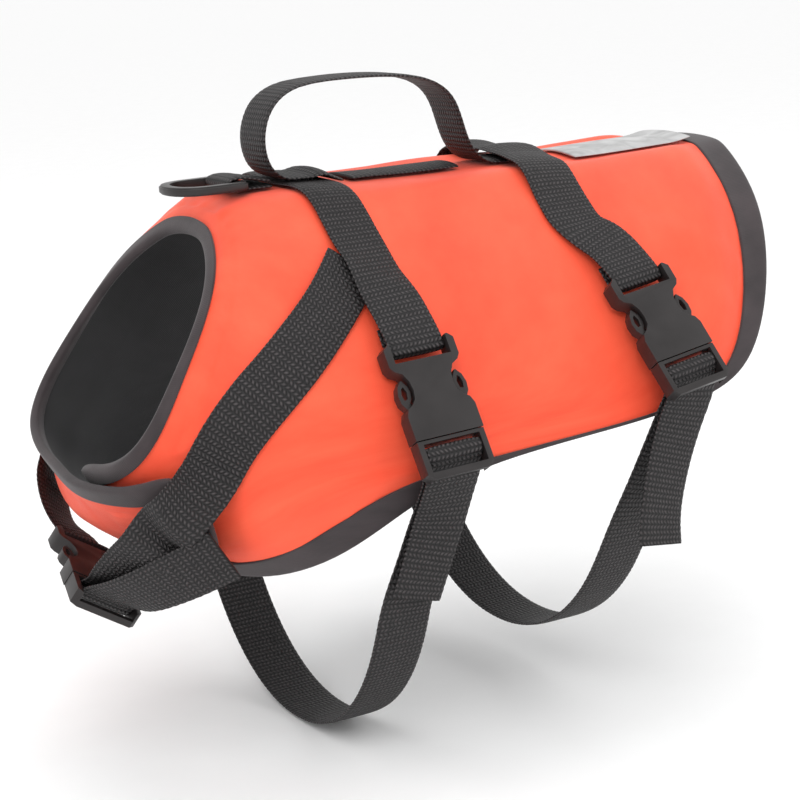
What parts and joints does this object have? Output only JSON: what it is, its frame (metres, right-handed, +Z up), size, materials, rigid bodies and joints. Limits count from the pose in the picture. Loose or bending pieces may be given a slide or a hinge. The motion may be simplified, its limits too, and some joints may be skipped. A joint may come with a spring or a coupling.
{
  "type": "dog life jacket",
  "caption": "Foam-filled dog life jacket with black webbing belly and chest straps, side-release buckles, a back handle and a leash ring.",
  "frame": {"origin": "inner face of the back, on the spine under the carrying handle, where the wearer's back holds the jacket up", "axes": "+X from the head to the tail, +Y to the dog's right, +Z up"},
  "size_m": [0.3525, 0.2466, 0.2941],
  "materials": {
    "shell_cloth": "coated polyester taffeta, matt with a soft sheen",
    "lining_cloth": "black nylon lining with a soft sheen",
    "binding_cloth": "folded nylon binding tape",
    "webbing": "coarse woven polypropylene webbing",
    "moulded_plastic": "injection-moulded acetal, satin",
    "reflective_cloth": "silver retroreflective cloth"
  },
  "bodies": {
    "root": {"outer_shell": "shell_cloth", "lining": "lining_cloth", "edge_binding": "binding_cloth", "spine_strip": "webbing", "reflective_patch": "reflective_cloth", "leash_tab": "webbing", "leash_ring": "moulded_plastic", "chest_strap_near": "webbing", "chest_strap_far": "webbing", "chest_buckle_socket": "moulded_plastic", "chest_buckle_plug": "moulded_plastic", "girth_strap_front": "webbing", "front_buckle_socket": "moulded_plastic", "front_buckle_plug": "moulded_plastic", "handle": "webbing", "girth_strap_rear": "webbing", "rear_buckle_socket": "moulded_plastic", "rear_buckle_plug": "moulded_plastic"}
  },
  "joints": []
}
